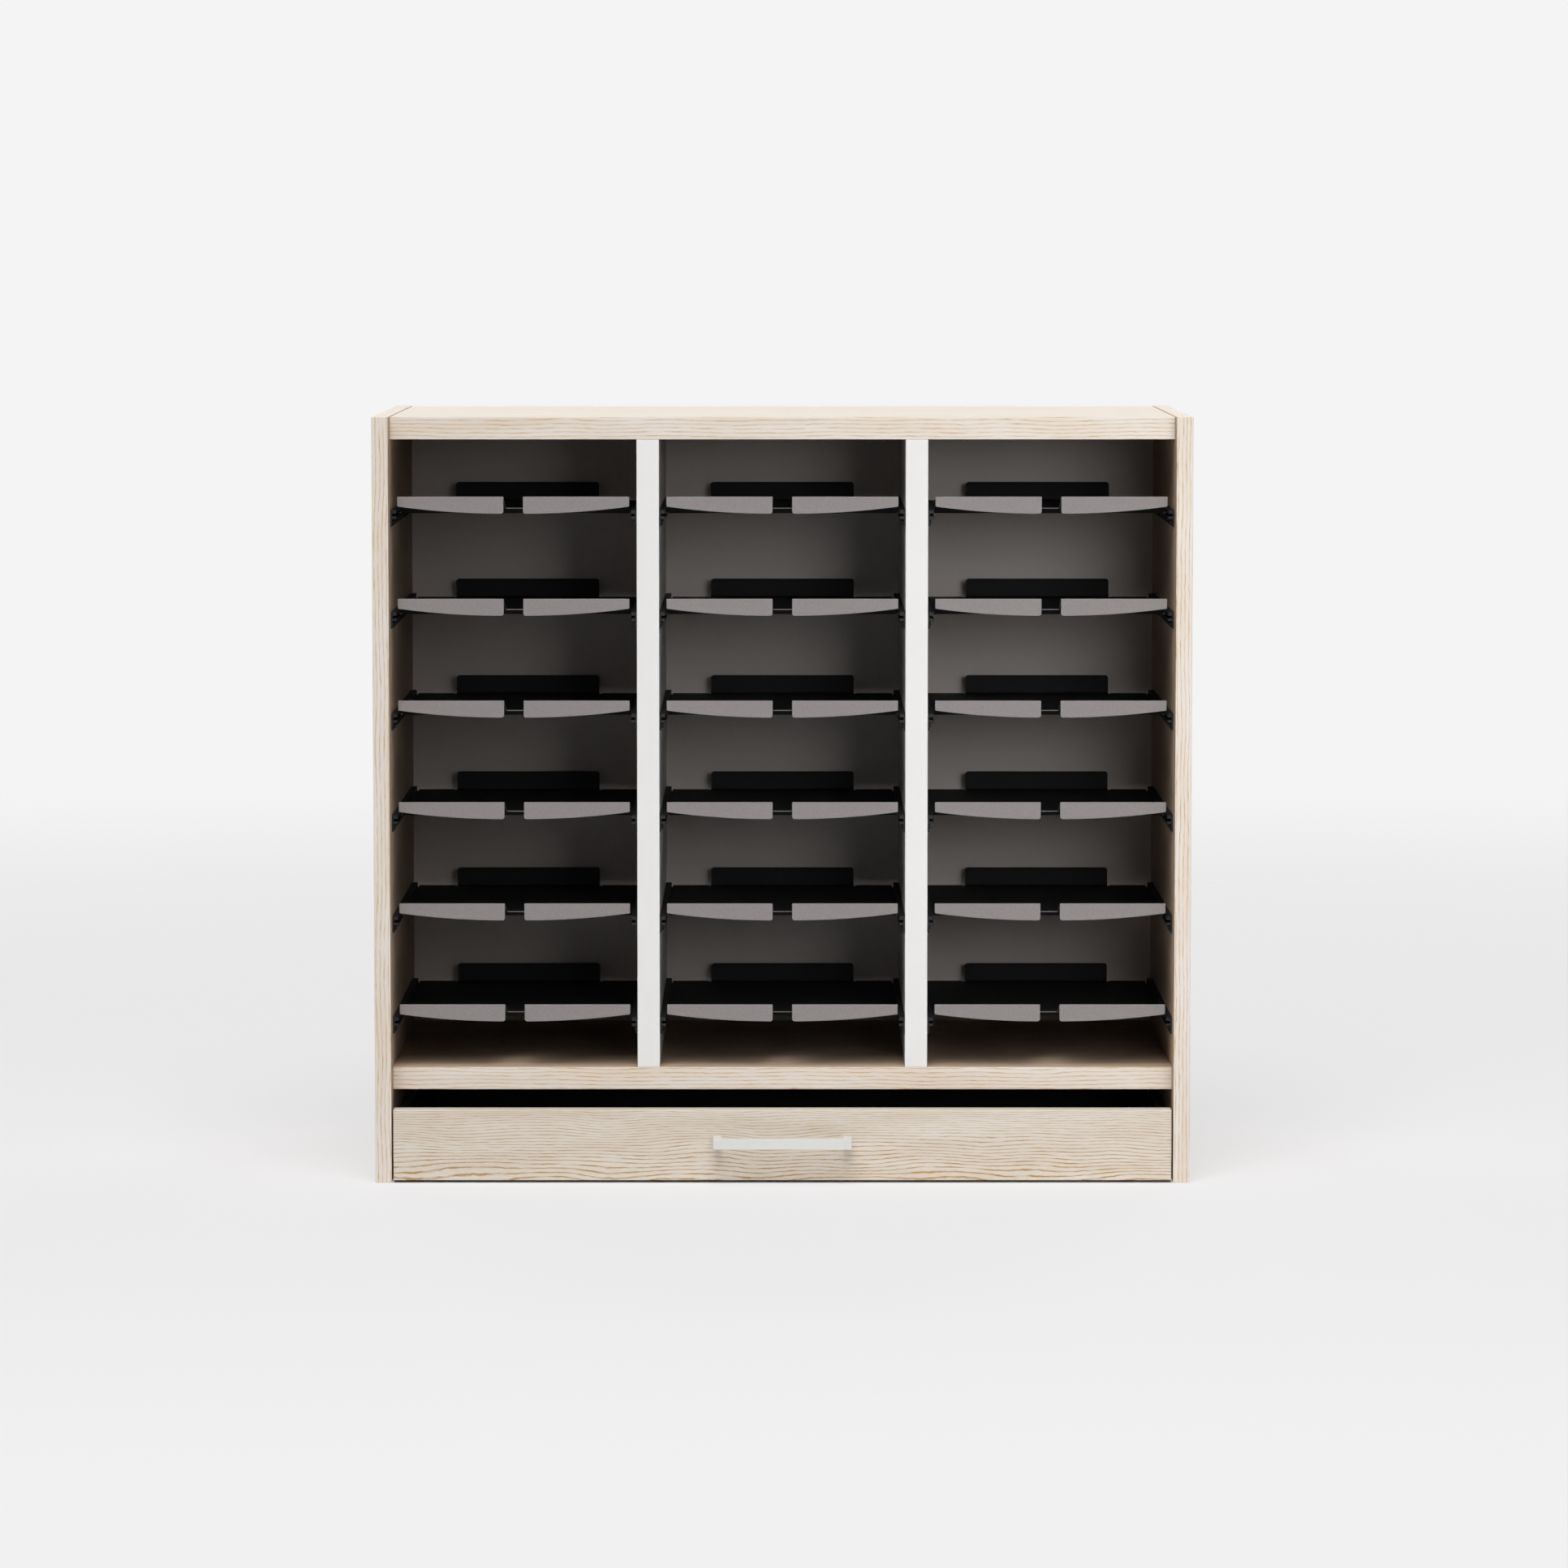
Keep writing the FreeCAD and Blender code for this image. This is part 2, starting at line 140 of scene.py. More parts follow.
case_middle = (0.0, 0.0, 0.4)
lamp("front_left_lamp", (-1.59, -5.92, 5.54), case_middle, 4.5, 190.0)
lamp("front_right_lamp", (2.59, -5.55, 5.54), case_middle, 4.5, 74.0)
lamp("high_lamp", (0.0, -2.44, 5.88), case_middle, 3.5, 208.0)
lamp("rear_right_lamp", (1.34, 2.32, 2.65), case_middle, 1.2, 14.5)
lamp("rear_left_lamp", (-1.34, 2.32, 2.65), case_middle, 1.2, 14.5)
gridded = lamp("low_gridded_lamp", (0.9, -3.2, 1.0), (0.5, 0.0, 0.5), 0.9, 1.0)
gridded.spread = math.radians(36)

# matt paint: no mirror image of the case, only its soft shadow
floor_evenness = 0.62           # share of the floor's tone that the lamps and shadows don't touch
floor_material = bpy.data.materials.new("matt white floor paint")
floor_material.use_nodes = True
tree = floor_material.node_tree
tree.nodes.clear()
place = add_node(tree, "TexCoord").outputs["Object"]
lit_paint = add_node(tree, "BsdfDiffuse", {"Color": linear("#efeeef")})
even_paint = add_node(tree, "Emission", {"Color": linear("#f1f0f0"), "Strength": 1.0})

# under the case the floor is as dark as the case makes it
front_low, front_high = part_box("drawer_front")
foot_middle = (0.0, (cad_high.y + front_low.y) / 2, 0.0)
foot_half = (front_high.x, (cad_high.y - front_low.y) / 2, 1.0)
beyond = add_node(tree, "VectorMath", {0: place, 1: foot_middle}, operation="SUBTRACT")
beyond = add_node(tree, "VectorMath", {0: beyond.outputs[0]}, operation="ABSOLUTE")
beyond = add_node(tree, "VectorMath", {0: beyond.outputs[0], 1: foot_half}, operation="SUBTRACT")
beyond = add_node(tree, "SeparateXYZ", {0: beyond.outputs[0]})
beyond = add_node(tree, "Math", {0: beyond.outputs[0], 1: beyond.outputs[1]}, operation="MAXIMUM")
evenness = add_node(
    tree, "MapRange",
    {"Value": beyond.outputs[0], "From Min": -1 * mm, "From Max": 3 * mm, "To Max": floor_evenness},
)
evenness = add_node(
    tree, "Math", {0: sees_surround(tree), 1: evenness.outputs["Result"]}, operation="MULTIPLY"
)
paint = add_node(
    tree, "MixShader", {0: evenness.outputs[0], 1: lit_paint.outputs[0], 2: even_paint.outputs[0]}
)

# from 1 m to 4.5 m from the case the floor fades away
distance = add_node(tree, "VectorMath", {0: place}, operation="LENGTH")
fade = add_node(
    tree, "MapRange",
    {"Value": distance.outputs["Value"], "From Min": 1.0, "From Max": 4.5},
    interpolation_type="SMOOTHSTEP",
)
clear = add_node(tree, "BsdfTransparent")
faded = add_node(
    tree, "MixShader", {0: fade.outputs["Result"], 1: paint.outputs[0], 2: clear.outputs[0]}
)
add_node(tree, "OutputMaterial", {"Surface": faded.outputs[0]})

form = bmesh.new()
bmesh.ops.create_circle(form, cap_ends=True, radius=9.0, segments=96)
bmesh.ops.translate(form, vec=(0, 0, -0.2 * mm), verts=form.verts)
floor_mesh = bpy.data.meshes.new("floor")
form.to_mesh(floor_mesh)
form.free()
floor_mesh.materials.append(floor_material)
floor = bpy.data.objects.new("floor", floor_mesh)
bpy.context.scene.collection.objects.link(floor)


# ---- Side panels
# 16 mm particle board faced with pale oak veneer that runs up the panel, and edged with the
# same veneer. The rear inner edge has a stopped rebate for the back panel. The top and the
# shelf are glued between the sides on loose tongues.

def new_material(name, **uniform):
    """A Principled material with the values that are the same all over set on its sockets, its
    node tree, and Object coordinates in metres."""
    material = bpy.data.materials.new(name)
    material.use_nodes = True
    tree = material.node_tree
    for socket, value in uniform.items():
        tree.nodes["Principled BSDF"].inputs[socket.replace("_", " ")].default_value = value
    return material, tree, add_node(tree, "TexCoord").outputs["Object"]


def stretched_noise(tree, place, steps, detail):
    """Noise that takes its own number of steps for each unit of the place's three axes."""
    stretched = add_node(tree, "VectorMath", {0: place, 1: steps}, operation="MULTIPLY")
    return add_node(
        tree, "TexNoise", {"Vector": stretched.outputs[0], "Detail": detail}
    ).outputs["Fac"]


def lay_finish(
    tree, tone, tones, gloss, roughness, relief=None, depth=0.0, strength=0.0, sunk=False
):
    """Leads patterns to the shader: tone mixes two colours, gloss moves the roughness between
    two values, and relief raises the surface by a depth, or sinks it."""
    shader = tree.nodes["Principled BSDF"]
    colour = add_node(
        tree, "Mix", {0: tone, 6: linear(tones[0]), 7: linear(tones[1])}, data_type="RGBA"
    )
    tree.links.new(colour.outputs[2], shader.inputs["Base Color"])
    smooth, rough = roughness
    sheen = add_node(tree, "MapRange", {"Value": gloss, "To Min": smooth, "To Max": rough})
    tree.links.new(sheen.outputs["Result"], shader.inputs["Roughness"])
    if relief:
        bump = add_node(
            tree, "Bump", {"Height": relief, "Strength": strength, "Distance": depth}, invert=sunk
        )
        tree.links.new(bump.outputs[0], shader.inputs["Normal"])


def sliced_oak(name, along, tones, ring_width, figure, coat, sway=1.4, start=0.0, tightening=0.0):
    """Oak veneer, sliced and lacquered matt: tan lines of open early wood on a pale ground, and a
    sheen at a low angle by the weight of the coat. Along is the axis that the grain follows.

    The yearly rings are ring_width apart where the other two coordinates add up to start, and
    get closer with the distance from there by the tightening, in shares of a ring a metre.
    Figure is how strong the lines are, less where they crowd, and sway is how many rings wide
    they swing."""
    material, tree, place = new_material(
        name, Metallic=0.0, IOR=1.5, Specular_IOR_Level=0.4, Coat_Weight=coat, Coat_Roughness=0.3
    )
    axes = add_node(tree, "SeparateXYZ", {0: place}).outputs
    cross = [axes[axis] for axis in range(3) if axis != along]
    across = add_node(tree, "Math", {0: cross[0], 1: cross[1]}, operation="ADD").outputs[0]
    across = add_node(tree, "Math", {0: across, 1: start}, operation="SUBTRACT").outputs[0]
    if tightening:
        crowding = add_node(
            tree, "Math", {0: across, 1: tightening, 2: 1.0}, operation="MULTIPLY_ADD"
        ).outputs[0]
        figure = add_node(tree, "Math", {0: figure, 1: crowding}, operation="DIVIDE").outputs[0]
        gain = add_node(
            tree, "Math", {0: across, 1: tightening / 2, 2: 1.0}, operation="MULTIPLY_ADD"
        ).outputs[0]
        across = add_node(tree, "Math", {0: across, 1: gain}, operation="MULTIPLY").outputs[0]

    # the rings drift by some millimetres over 300 mm, and waver by a millimetre over 40 mm
    plank = add_node(tree, "CombineXYZ", {0: axes[along], 1: cross[0], 2: cross[1]}).outputs[0]
    drift = stretched_noise(tree, plank, (2.6, 7, 7), 0.0)
    waver = stretched_noise(tree, plank, (24, 42, 42), 3.0)
    drifted = add_node(
        tree, "Math", {0: drift, 1: sway * ring_width, 2: across}, operation="MULTIPLY_ADD"
    ).outputs[0]
    grain = add_node(
        tree, "Math", {0: waver, 1: 0.4 * ring_width, 2: drifted}, operation="MULTIPLY_ADD"
    ).outputs[0]
    grain = add_node(tree, "Math", {0: grain, 1: 1 / ring_width}, operation="MULTIPLY").outputs[0]
    along_grain = add_node(tree, "CombineXYZ", {0: axes[along], 1: grain}).outputs[0]

    # a tan line where each ring's early wood lies, stronger and weaker along its length
    turn = add_node(tree, "Math", {0: grain, 1: 2 * math.pi}, operation="MULTIPLY").outputs[0]
    wave = add_node(tree, "Math", {0: turn}, operation="SINE").outputs[0]
    ring = add_node(
        tree, "MapRange", {"Value": wave, "From Min": 0.25, "From Max": 1.0},
        interpolation_type="SMOOTHSTEP",
    ).outputs["Result"]
    strength = stretched_noise(tree, along_grain, (9, 0.8, 1), 2.0)
    strength = add_node(
        tree, "MapRange", {"Value": strength, "From Min": 0.38, "From Max": 0.6, "To Min": 0.1}
    ).outputs["Result"]
    line = add_node(tree, "Math", {0: ring, 1: strength}, operation="MULTIPLY").outputs[0]

    # open pores: dashes under 1 mm wide and 10 to 40 mm long, most of them in the tan lines
    dash = stretched_noise(tree, along_grain, (24, 3.4, 1), 1.5)
    dash = add_node(
        tree, "MapRange", {"Value": dash, "From Min": 0.47, "From Max": 0.66}
    ).outputs["Result"]
    room = add_node(tree, "Math", {0: line, 1: 0.8, 2: 0.2}, operation="MULTIPLY_ADD").outputs[0]
    pores = add_node(tree, "Math", {0: dash, 1: room}, operation="MULTIPLY").outputs[0]

    # fibres, drawn 0.6 mm wide instead of 0.1 mm, and a slow change of tone over the leaf
    fibre = stretched_noise(tree, along_grain, (16, 6.5, 1), 0.0)
    leaf = stretched_noise(tree, plank, (2, 16, 16), 0.0)
    shade = add_node(tree, "Math", {0: fibre, 1: leaf}, operation="ADD").outputs[0]
    shade = add_node(
        tree, "MapRange", {"Value": shade, "From Min": 0.6, "From Max": 1.4, "To Max": 0.24}
    ).outputs["Result"]
    marks = add_node(tree, "Math", {0: pores, 1: 0.8, 2: line}, operation="MULTIPLY_ADD").outputs[0]
    amount = add_node(
        tree, "Math", {0: marks, 1: figure, 2: shade}, operation="MULTIPLY_ADD", use_clamp=True
    ).outputs[0]
    lay_finish(tree, amount, tones, pores, (0.6, 0.75), pores, 0.05 * mm, 0.2, sunk=True)
    return material


x_axis, y_axis, z_axis = range(3)
outer_veneer = dict(tones=("#e6e0db", "#c09228"), ring_width=3.8 * mm, figure=0.5, coat=0.35)
oak_up = sliced_oak("oak veneer, sliced and lacquered, upright", z_axis, **outer_veneer)
oak_deep = sliced_oak("oak veneer, sliced and lacquered, front to back", y_axis, **outer_veneer)
oak_across = sliced_oak("oak veneer, sliced and lacquered, across", x_axis, **outer_veneer)
# the veneer inside the case is painted a deeper tone, which is painted shade for the dark inside of
# the case, and has no sheen
shaded_inner_veneer = dict(outer_veneer, tones=("#d3bca5", "#996d41"), coat=0.0)
shaded_inner_up = sliced_oak("inner oak veneer, darker as painted shade, upright", z_axis, **shaded_inner_veneer)
shaded_inner_across = sliced_oak("inner oak veneer, darker as painted shade, across", x_axis, **shaded_inner_veneer)


def board(low, high):
    """A closed block between two corners, as a board is sawn."""
    form = bmesh.new()
    size = Vector(high) - Vector(low)
    place = Matrix.Translation((Vector(low) + Vector(high)) / 2) @ Matrix.Diagonal((*size, 1.0))
    bmesh.ops.create_cube(form, size=1.0, matrix=place)
    return form


def ease_edges(piece, radius, steps):
    """Takes the sharpness off every edge that turns by more than 40 degrees."""
    ease = piece.modifiers.new("eased edges", "BEVEL")
    ease.width = radius
    ease.segments = steps
    ease.limit_method = "ANGLE"
    ease.angle_limit = math.radians(40)
    ease.harden_normals = True


def make_piece(name, form, materials, body, stands_for=(), arris=0.0, steps=2):
    """Turns a form into a piece that rides on a body and stands for its CAD nodes."""
    mesh = bpy.data.meshes.new(name)
    form.to_mesh(mesh)
    form.free()
    for material in materials:
        mesh.materials.append(material)
    mesh.shade_smooth()
    piece = bpy.data.objects.new(name, mesh)
    bpy.context.scene.collection.objects.link(piece)
    if arris:
        ease_edges(piece, arris, steps)
    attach(piece, body)
    if stands_for:
        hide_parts(*stands_for)
    return piece


def only(kind, parts):
    """The parts of one kind among those that an operator has made."""
    return [part for part in parts if isinstance(part, kind)]


def pulled(form, faces, by):
    """Extrudes faces by a vector, leaves their old places open inside, and gives the new faces."""
    made = bmesh.ops.extrude_face_region(form, geom=faces)["geom"]
    bmesh.ops.translate(form, vec=by, verts=only(bmesh.types.BMVert, made))
    return only(bmesh.types.BMFace, made)


board_arris = 0.6 * mm
rebate = 8 * mm
back_low, back_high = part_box("back_panel")
for side, inward in (("left", 1), ("right", -1)):
    node = f"side_panel_{side}"
    low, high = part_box(node)
    inner = high.x if side == "left" else low.x
    outer = low.x if side == "left" else high.x
    form = bmesh.new()
    step = inner - inward * rebate
    outline = [
        (outer, low.y), (inner, low.y), (inner, back_low.y),
        (step, back_low.y), (step, high.y), (outer, high.y),
    ]
    corners = [form.verts.new((x, y, high.z)) for x, y in outline]
    full_corner = form.verts.new((inner, high.y, high.z))
    panel_end = form.faces.new(corners)
    rebate_end = form.faces.new([corners[3], corners[2], full_corner, corners[4]])
    # drawn down from the top: whole as far as the rebate's stop, and with the rebate from there
    at_stop = pulled(form, [panel_end, rebate_end], (0, 0, back_high.z - high.z))
    rebated = max(at_stop, key=lambda face: face.calc_area())
    pulled(form, [rebated], (0, 0, low.z - back_high.z))
    bmesh.ops.delete(form, geom=[rebated], context="FACES_ONLY")
    bmesh.ops.dissolve_limit(
        form, angle_limit=math.radians(1), verts=form.verts, edges=form.edges
    )
    bmesh.ops.recalc_face_normals(form, faces=form.faces)
    # the ends take the front-to-back veneer, and the inner face the veneer painted darker as
    # painted shade
    for face in form.faces:
        if abs(face.normal.z) > 0.5:
            face.material_index = 1
        elif face.normal.x * inward > 0.5:
            face.material_index = 2
    make_piece(
        node + "_board", form, [oak_up, oak_deep, shaded_inner_up], "carcass", [node],
        board_arris,
    )


# ---- Top panel and bottom shelf
# 22 mm veneered particle board between the sides, with the grain running across the case.
# The front edges are set back from the sides and edged with oak.

hairline = Vector((0.15 * mm, 0, 0))    # what the glued joints leave open at the surface
for node, inward in (("top_panel", -1), ("bottom_shelf", 1)):
    low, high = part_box(node)
    form = board(low + hairline, high - hairline)
    # the face inside the case takes the veneer painted darker as painted shade
    for face in form.faces:
        face.material_index = 1 if face.normal.z * inward > 0.5 else 0
    make_piece(
        node + "_board", form, [oak_across, shaded_inner_across], "carcass", [node],
        board_arris,
    )


# ---- Dividers
# 22 mm particle board faced and edged in white melamine, which has a fine pearl texture and a
# soft sheen. They stand on the shelf and carry the middle runners.

def white_melamine():
    """Melamine paper pressed with a pearl plate: fine dimples that break up its sheen."""
    material, tree, place = new_material("white melamine, pearl pressed", Metallic=0.0, IOR=1.5)
    pearl = add_node(
        tree, "TexNoise", {"Vector": place, "Scale": 0.9 / mm, "Detail": 2.0}
    ).outputs["Fac"]
    cloud = add_node(tree, "TexNoise", {"Vector": place, "Scale": 0.014 / mm}).outputs["Fac"]
    lay_finish(
        tree, cloud, ("#e6e5e3", "#ebeae8"), pearl, (0.38, 0.52), pearl, 0.05 * mm, 0.25
    )
    return material


melamine = white_melamine()
for node in ("divider_1", "divider_2"):
    form = board(*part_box(node))
    make_piece(node + "_board", form, [melamine], "carcass", [node], board_arris)


# ---- Back panel
# One 8 mm fibreboard let into the sides and screwed on from behind. Its faces are printed a
# plain warm grey and lacquered, and the sawn edges show the brown board.

def printed_board():
    """Fibreboard printed grey and lacquered: one even tone under a soft sheen, and a trace of
    the board's felt."""
    material, tree, place = new_material(
        "fibreboard, printed grey and lacquered", Metallic=0.0, IOR=1.5, Specular_IOR_Level=0.6
    )
    felt = add_node(
        tree, "TexNoise", {"Vector": place, "Scale": 0.42 / mm, "Detail": 3.0}
    ).outputs["Fac"]
    lay_finish(tree, felt, ("#cbc1ba", "#d3c9c3"), felt, (0.36, 0.46), felt, 0.04 * mm, 0.2)
    return material


def sawn_fibreboard():
    """Fibreboard as the saw leaves it: brown, fluffy and without a sheen."""
    material, tree, place = new_material("brown fibreboard, sawn", Metallic=0.0, IOR=1.5)
    fluff = add_node(
        tree, "TexNoise", {"Vector": place, "Scale": 1.6 / mm, "Detail": 3.0}
    ).outputs["Fac"]
    lay_finish(tree, fluff, ("#7d6248", "#9a7d5f"), fluff, (0.8, 0.9), fluff, 0.1 * mm, 0.5)
    return material


form = board(back_low, back_high)
for face in form.faces:
    face.material_index = 0 if abs(face.normal.y) > 0.5 else 1
make_piece(
    "back_board", form, [printed_board(), sawn_fibreboard()], "carcass",
    ["back_panel"], 0.3 * mm,
)


# ---- Loose tongues
# Strips of birch plywood glued into the grooves between boards. They are hidden in the joints,
# so the solids stay as they are and get the finish of sanded birch.

def birch_plywood():
    """Birch peeled and sanded: a pale, dry surface with fine veins along the strip."""
    material, tree, place = new_material("birch plywood, sanded", Metallic=0.0, IOR=1.5)
    veins = stretched_noise(tree, place, (0.3 / mm, 0.012 / mm, 0.7 / mm), 2.0)
    lay_finish(tree, veins, ("#d9c19b", "#c2a477"), veins, (0.6, 0.75))
    return material


def dress(node, material):
    """Gives a CAD solid that keeps its shape its finish."""
    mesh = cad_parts[node].data
    mesh.materials.clear()
    mesh.materials.append(material)


dress("carcass_tongues", birch_plywood())


# ---- Back panel screws
# Four countersunk steel screws with a cross recess, zinc plated and passivated. They go through
# the back panel into the sides and are driven flush.

def zinc_plate():
    """Steel plated with zinc: bluish and bright, drawn lines along it and a faint bloom over it."""
    material, tree, place = new_material("steel, zinc plated and passivated", Metallic=1.0)
    bloom = add_node(
        tree, "TexNoise", {"Vector": place, "Scale": 0.26 / mm, "Detail": 3.0}
    ).outputs["Fac"]
    drawn = stretched_noise(tree, place, (1.5 / mm, 0.025 / mm, 1.5 / mm), 1.0)
    lay_finish(tree, bloom, ("#c3c8cb", "#b0b3b8"), drawn, (0.28, 0.45), drawn, 0.02 * mm, 0.15)
    return material


zinc = zinc_plate()


def facing(place, outward):
    """Turns a shape that was made on the Z axis to face outward at a place."""
    turn = Vector((0, 0, 1)).rotation_difference(outward)
    return Matrix.Translation(place) @ turn.to_matrix().to_4x4()


def cross_recess(form, head, arm, width, depth):
    """Cuts a cross into a screw's flat twelve-sided head face, which lies square to Z."""
    bmesh.ops.inset_region(form, faces=[head], thickness=arm * 0.25)
    centre = head.calc_center_median()
    for index, vert in enumerate(head.verts):
        quarter = (index // 3) * math.pi / 2
        spot = ((width, width), (arm, width), (arm, -width))[index % 3]
        turn = Matrix.Rotation(-quarter, 2)
        vert.co.xy = centre.xy + turn @ Vector(spot)
    pulled(form, [head], (0, 0, -depth))
    bmesh.ops.delete(form, geom=[head], context="FACES_ONLY")


def screw(form, place, outward, top_radius, under_radius, head_height, shank_radius, length):
    """Adds a cross-head screw with its head face at place. Under the head it is as wide as
    under_radius: the shank's width makes a countersunk head, more makes a pan head."""
    part = bmesh.new()
    bmesh.ops.create_cone(
        part, cap_ends=True, segments=12, radius1=under_radius, radius2=top_radius,
        depth=head_height, matrix=Matrix.Translation((0, 0, -head_height / 2)),
    )
    head = max(part.faces, key=lambda face: face.calc_center_median().z)
    foot = min(part.faces, key=lambda face: face.calc_center_median().z)
    if under_radius > shank_radius:
        bmesh.ops.inset_region(part, faces=[foot], thickness=under_radius - shank_radius)
    pulled(part, [foot], (0, 0, head_height - length))
    bmesh.ops.delete(part, geom=[foot], context="FACES_ONLY")
    cross_recess(
        part, head, arm=0.55 * top_radius, width=0.14 * top_radius, depth=0.35 * top_radius
    )
    part.transform(facing(place, outward))
    mesh = bpy.data.meshes.new("screw")
    part.to_mesh(mesh)
    part.free()
    form.from_mesh(mesh)
    bpy.data.meshes.remove(mesh)


panel_screw = dict(
    top_radius=3.5 * mm, under_radius=1.75 * mm, head_height=1.75 * mm, shank_radius=1.75 * mm,
    length=22 * mm,
)
low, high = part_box("back_panel_screws")
head = panel_screw["top_radius"]
form = bmesh.new()
for x in (low.x + head, high.x - head):
    for z in (low.z + head, high.z - head):
        screw(form, Vector((x, high.y, z)), Vector((0, 1, 0)), **panel_screw)
make_piece("back_screws", form, [zinc], "carcass", ["back_panel_screws"])


# ---- Tray runners
# Channels moulded in black ABS with a fine spark texture, two for each tray. The tray's edges
# slide between the two ribs, a rounded nose leads them in, and the rear end is closed. Black
# pan-head screws hold each runner through the web under its channel.

def moulded_abs():
    """ABS out of a spark-eroded mould: a deep black with a fine dry grain."""
    material, tree, place = new_material(
        "black ABS, injection moulded", Metallic=0.0, IOR=1.53, Specular_IOR_Level=0.3
    )
    spark = add_node(
        tree, "TexNoise", {"Vector": place, "Scale": 1.5 / mm, "Detail": 2.0}
    ).outputs["Fac"]
    lay_finish(tree, spark, ("#131314", "#1c1c1d"), spark, (0.5, 0.66), spark, 0.04 * mm, 0.3)
    return material


def blackened_steel():
    """Steel blackened in oil: nearly black, and brighter where it has been rubbed."""
    material, tree, place = new_material("steel, blackened and oiled", Metallic=1.0)
    worn = add_node(
        tree, "TexNoise", {"Vector": place, "Scale": 0.7 / mm, "Detail": 3.0}
    ).outputs["Fac"]
    lay_finish(tree, worn, ("#2a2a2b", "#4a4a4c"), worn, (0.35, 0.6))
    return material


abs_black = moulded_abs()
black_steel = blackened_steel()
columns = (1, 2, 3)
rows = (1, 2, 3, 4, 5, 6)
web = 1.8 * mm                  # thickness against the wall
reach = 6.0 * mm                # how far the ribs stand out from the wall
drop_top, drop_roof, drop_seat, drop_foot, drop_bottom = [
    drop * mm for drop in (13.5, 16.9, 19.5, 22.1, 29.6)     # below the tray's lips
]
runner_outline = [              # out from the wall, and down from the top of the lips
    (0, drop_bottom), (web, drop_bottom), (web, drop_foot),
    (reach, drop_foot), (reach, drop_seat), (web, drop_seat),
    (web, drop_roof), (reach, drop_roof), (reach, drop_top), (0, drop_top),
]
closed_end = 3.0 * mm
nose = 1.2 * mm
hair = 0.001 * mm               # two places nearer than this are the same
runner_screw = dict(
    top_radius=2.2 * mm, under_radius=2.8 * mm, head_height=1.5 * mm, shank_radius=1.5 * mm,
    length=3.2 * mm,
)
screw_depths = [distance * mm for distance in (18, 165, 312)]     # behind the runner's front
for column in columns:
    node = f"tray_runners_c{column}"
    low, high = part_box(node)
    form = bmesh.new()
    heads = bmesh.new()
    for wall, inward in ((low.x, 1), (high.x, -1)):
        for row in rows:
            lip_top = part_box(f"tray_lips_c{column}r{row}")[1].z
            corners = [
                form.verts.new((wall + inward * out, high.y, lip_top - drop))
                for out, drop in runner_outline
            ]
            section = form.faces.new(corners)
            channel = form.faces.new([corners[5], corners[4], corners[7], corners[6]])
            # drawn forward from the rear: filled over the closed end, then with the open channel
            front = pulled(form, [section, channel], (0, -closed_end, 0))
            section = max(front, key=lambda face: face.calc_area())
            front = pulled(form, [section], (0, low.y - high.y + closed_end, 0))
            bmesh.ops.delete(form, geom=[section], context="FACES_ONLY")
            tips = [
                edge for edge in front[0].edges
                if all(abs(vert.co.x - wall - inward * reach) < hair for vert in edge.verts)
            ]
            bmesh.ops.bevel(
                form, geom=tips, offset=nose, segments=3, profile=0.5, affect="EDGES", material=-1
            )
            head_face = wall + inward * (web + runner_screw["head_height"])
            head_middle = lip_top - (drop_foot + drop_bottom) / 2
            for depth in screw_depths:
                place = Vector((head_face, low.y + depth, head_middle))
                screw(heads, place, Vector((inward, 0, 0)), **runner_screw)
    bmesh.ops.recalc_face_normals(form, faces=form.faces)
    make_piece(node + "_moulded", form, [abs_black], "carcass", [node], 0.2 * mm)
    make_piece(f"runner_screws_c{column}", heads, [black_steel], "carcass")


# ---- Tray pans
# One blank of 1 mm sheet steel for each tray, black powder coated. From the front it runs down a
# ramp with a finger notch, is folded level, widens into the flanges that run in the runners,
# and ends in a stop folded up from the floor between two relief slots.

def powder_coat(name, tones, roughness):
    """Polyester powder on steel: a close, faintly orange-peeled film. Its grains are drawn as
    coarse as 0.5 mm to 1 mm, because the real 0.1 mm doesn't show."""
    material, tree, place = new_material(name, Metallic=0.0, IOR=1.5, Specular_IOR_Level=0.3)
    grains = add_node(
        tree, "TexNoise", {"Vector": place, "Scale": 1.0 / mm, "Detail": 2.0, "Roughness": 0.7}
    ).outputs["Fac"]
    tone = add_node(
        tree, "MapRange", {"Value": grains, "From Min": 0.3, "From Max": 0.7}
    ).outputs["Result"]
    peel = add_node(
        tree, "TexNoise", {"Vector": place, "Scale": 0.35 / mm, "Detail": 1.0}
    ).outputs["Fac"]
    height = add_node(tree, "Math", {0: grains, 1: peel}, operation="ADD").outputs[0]
    lay_finish(tree, tone, tones, grains, roughness, height, 0.05 * mm, 0.25)
    return material


black_powder = powder_coat("steel, black powder coated", ("#101011", "#1a191a"), (0.6, 0.8))
# the cut edges are painted lighter: a painted highlight where they catch the light, and a coat
# there worn thin by hands and paper
black_edge_highlight = powder_coat("steel edge, painted highlight and worn coat", ("#5f5c5a", "#787572"), (0.4, 0.6))

sheet = 1.0 * mm
ramp_half = 113.47 * mm
flange_half = 118.0 * mm
lip_rise = 18.2 * mm
lip_thickness = 2.0 * mm
notch_half = 9.55 * mm
stop_half = 73.75 * mm
relief = 3.0 * mm
stop_height = 19.0 * mm
# distances behind the front of the lips
notch_rear, ramp_foot, flange_front, flange_rear, stop_root, tray_rear = [
    distance * mm for distance in (50.0, 70.0, 72.0, 331.7, 344.5, 352.0)
]


def drawn(form, edges, by):
    """Pulls sheet out of its edges by a vector and gives the new edges."""
    made = bmesh.ops.extrude_edge_only(form, edges=edges)["geom"]
    ends = only(bmesh.types.BMVert, made)
    bmesh.ops.translate(form, vec=by, verts=ends)
    return [edge for edge in only(bmesh.types.BMEdge, made) if set(edge.verts) <= set(ends)]


